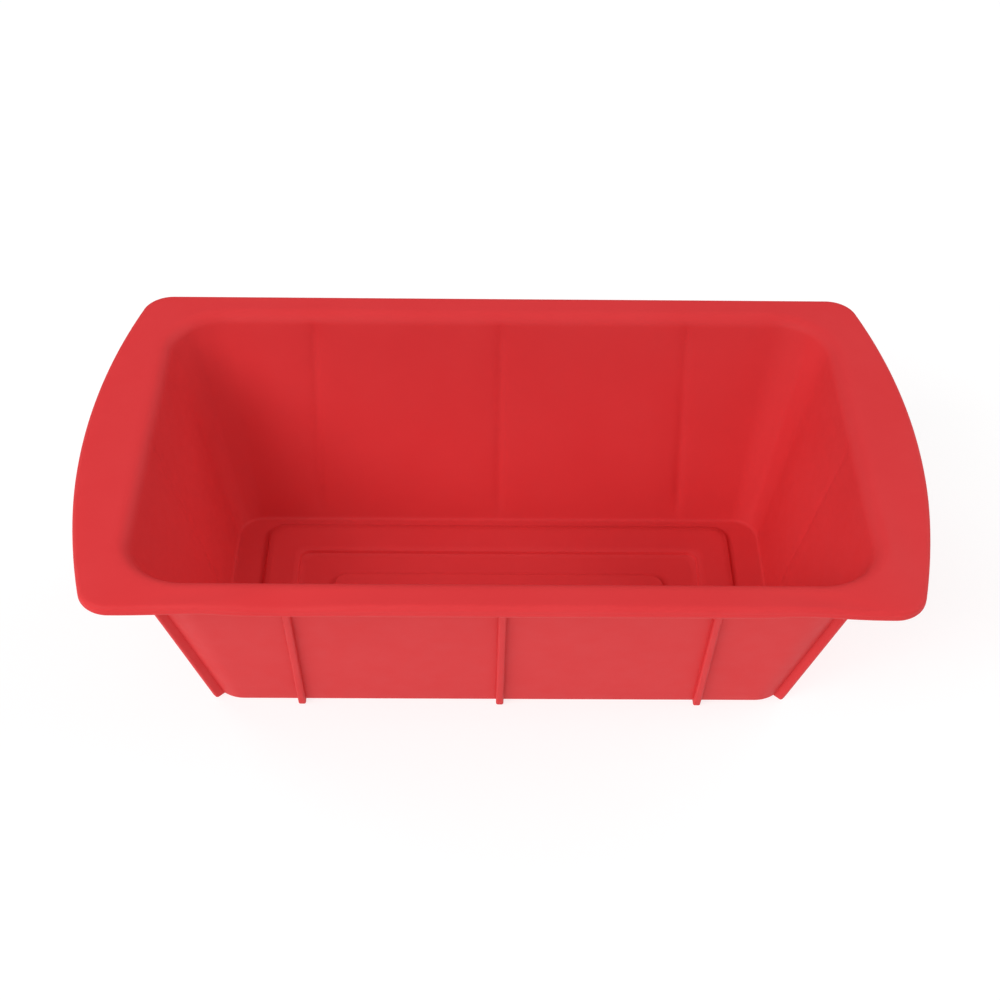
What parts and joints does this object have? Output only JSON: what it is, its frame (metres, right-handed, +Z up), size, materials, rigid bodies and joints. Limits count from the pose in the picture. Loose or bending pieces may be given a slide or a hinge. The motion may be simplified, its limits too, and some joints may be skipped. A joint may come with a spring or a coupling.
{
  "type": "silicone loaf mould",
  "caption": "Long flexible red silicone loaf mould for soap, resin or cake: a tapered tub with a stepped floor, a flat rim with bowed handle ends, and thin stiffening ribs outside.",
  "frame": {"origin": "middle of the base, on the surface it stands on", "axes": "+X along the loaf, towards the right handle; +Y across it, towards the back; +Z up, out of the mouth"},
  "size_m": [0.26, 0.15, 0.0745],
  "materials": {
    "silicone": "satin"
  },
  "bodies": {
    "root": {"floor": "silicone", "front_wall": "silicone", "back_wall": "silicone", "left_end_wall": "silicone", "right_end_wall": "silicone", "front_left_corner": "silicone", "front_right_corner": "silicone", "back_left_corner": "silicone", "back_right_corner": "silicone", "front_rim": "silicone", "back_rim": "silicone", "left_handle": "silicone", "right_handle": "silicone", "front_rib_1": "silicone", "front_rib_2": "silicone", "front_rib_3": "silicone", "back_rib_1": "silicone", "back_rib_2": "silicone", "back_rib_3": "silicone", "left_end_rib": "silicone", "right_end_rib": "silicone", "front_left_corner_rib": "silicone", "front_right_corner_rib": "silicone", "back_left_corner_rib": "silicone", "back_right_corner_rib": "silicone"}
  },
  "joints": []
}
